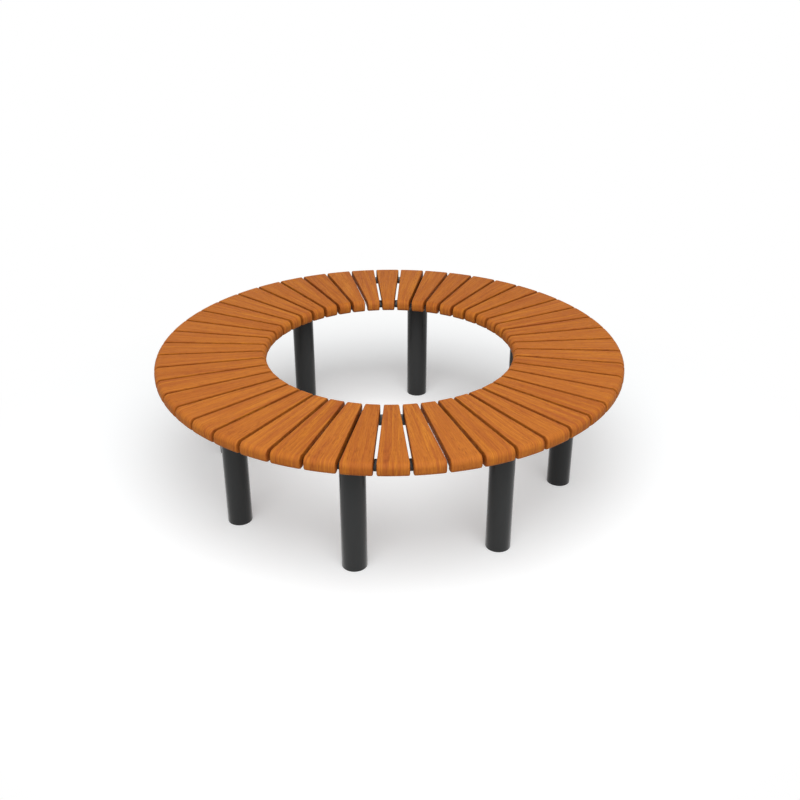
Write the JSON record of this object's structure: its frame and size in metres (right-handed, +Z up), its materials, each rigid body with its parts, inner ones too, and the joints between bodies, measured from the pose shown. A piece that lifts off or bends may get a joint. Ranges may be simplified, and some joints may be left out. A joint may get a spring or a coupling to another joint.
{
  "type": "tree bench",
  "caption": "Round backless bench that closes round a tree trunk: tapered wooden slats laid like spokes on flat steel rings, carried by round steel posts.",
  "frame": {"origin": "on the ground, at the centre of the seat ring", "axes": "+Z up; +X from the centre out through the first post, leg_1, which stands under the gap between slat_48 and slat_01; slats and posts are numbered anticlockwise seen from above"},
  "size_m": [1.5, 1.5, 0.45],
  "materials": {
    "oiled_hardwood": "satin oil",
    "coated_steel": "semi-gloss anthracite powder coat"
  },
  "bodies": {
    "root": {"slat_01": "oiled_hardwood", "slat_02": "oiled_hardwood", "slat_03": "oiled_hardwood", "slat_04": "oiled_hardwood", "slat_05": "oiled_hardwood", "slat_06": "oiled_hardwood", "slat_07": "oiled_hardwood", "slat_08": "oiled_hardwood", "slat_09": "oiled_hardwood", "slat_10": "oiled_hardwood", "slat_11": "oiled_hardwood", "slat_12": "oiled_hardwood", "slat_13": "oiled_hardwood", "slat_14": "oiled_hardwood", "slat_15": "oiled_hardwood", "slat_16": "oiled_hardwood", "slat_17": "oiled_hardwood", "slat_18": "oiled_hardwood", "slat_19": "oiled_hardwood", "slat_20": "oiled_hardwood", "slat_21": "oiled_hardwood", "slat_22": "oiled_hardwood", "slat_23": "oiled_hardwood", "slat_24": "oiled_hardwood", "slat_25": "oiled_hardwood", "slat_26": "oiled_hardwood", "slat_27": "oiled_hardwood", "slat_28": "oiled_hardwood", "slat_29": "oiled_hardwood", "slat_30": "oiled_hardwood", "slat_31": "oiled_hardwood", "slat_32": "oiled_hardwood", "slat_33": "oiled_hardwood", "slat_34": "oiled_hardwood", "slat_35": "oiled_hardwood", "slat_36": "oiled_hardwood", "slat_37": "oiled_hardwood", "slat_38": "oiled_hardwood", "slat_39": "oiled_hardwood", "slat_40": "oiled_hardwood", "slat_41": "oiled_hardwood", "slat_42": "oiled_hardwood", "slat_43": "oiled_hardwood", "slat_44": "oiled_hardwood", "slat_45": "oiled_hardwood", "slat_46": "oiled_hardwood", "slat_47": "oiled_hardwood", "slat_48": "oiled_hardwood", "leg_1": "coated_steel", "leg_2": "coated_steel", "leg_3": "coated_steel", "leg_4": "coated_steel", "leg_5": "coated_steel", "leg_6": "coated_steel", "leg_7": "coated_steel", "leg_8": "coated_steel", "inner_ring": "coated_steel", "outer_ring": "coated_steel", "support_arms": "coated_steel"}
  },
  "joints": []
}
